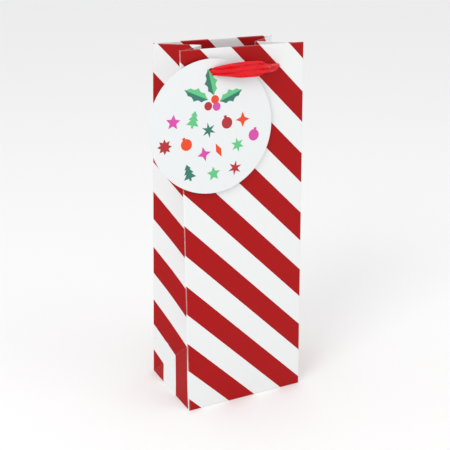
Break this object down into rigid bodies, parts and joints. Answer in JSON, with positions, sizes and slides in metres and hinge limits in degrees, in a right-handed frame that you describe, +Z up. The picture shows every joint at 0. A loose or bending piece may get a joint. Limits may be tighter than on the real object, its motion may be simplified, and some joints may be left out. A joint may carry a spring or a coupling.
{
  "type": "wine gift bag",
  "caption": "Tall gusseted paper gift bag for a bottle, diagonally striped, with ribbon handles and a round hanging tag.",
  "frame": {"origin": "centre of the base, on the surface the bag stands on", "axes": "+Z up, -Y the front wall with the tag, +X to the right as the front is seen"},
  "size_m": [0.1605, 0.1003, 0.3559],
  "materials": {
    "printed_paper": "gloss-coated paper printed with diagonal stripes",
    "bare_paper": "uncoated white paper",
    "greyboard": "matte grey card",
    "white_board": "matte white card",
    "satin_ribbon": "satin",
    "tag_card": "smooth white card, printed"
  },
  "bodies": {
    "front_and_base": {"front_panel": "printed_paper", "left_gusset_front": "printed_paper", "left_gusset_front_hem": "printed_paper", "left_gusset_rear": "printed_paper", "left_gusset_rear_hem": "printed_paper", "right_gusset_front": "printed_paper", "right_gusset_front_hem": "printed_paper", "right_gusset_rear": "printed_paper", "right_gusset_rear_hem": "printed_paper", "front_hem": "printed_paper", "base_back_flap": "printed_paper", "base_front_flap": "printed_paper", "base_left_flap": "printed_paper", "base_right_flap": "printed_paper", "front_card_strip": "greyboard", "base_board": "white_board", "front_ribbon_knots": "satin_ribbon"},
    "back_wall": {"back_panel": "printed_paper", "back_hem": "printed_paper", "back_card_strip": "greyboard", "side_seam_tab": "bare_paper", "back_ribbon_knots": "satin_ribbon"},
    "front_handle": {"front_ribbon_handle": "satin_ribbon"},
    "back_handle": {"back_ribbon_handle": "satin_ribbon"},
    "tag": {"gift_tag": "tag_card"}
  },
  "joints": [
    {"name": "mouth_close", "type": "hinge", "parent": "front_and_base", "child": "back_wall", "pos_m": [0, 0.047, 0], "axis": [1, 0, 0], "range_deg": [0, 7], "deforming": ["left_gusset_front", "left_gusset_front_hem", "left_gusset_rear", "left_gusset_rear_hem", "right_gusset_front", "right_gusset_front_hem", "right_gusset_rear", "right_gusset_rear_hem"]},
    {"name": "front_handle_swing", "type": "hinge", "parent": "front_and_base", "child": "front_handle", "pos_m": [0, -0.0458, 0.33608], "axis": [-1, 0, 0], "range_deg": [-40, 40]},
    {"name": "back_handle_swing", "type": "hinge", "parent": "back_wall", "child": "back_handle", "pos_m": [0, 0.03277, 0.33578], "axis": [1, 0, 0], "range_deg": [-40, 60]},
    {"name": "tag_swing", "type": "hinge", "parent": "front_and_base", "child": "tag", "pos_m": [-0.035, -0.0412, 0.33596], "axis": [0, -0.9997, 0.0253], "range_deg": [-45, 25]}
  ]
}
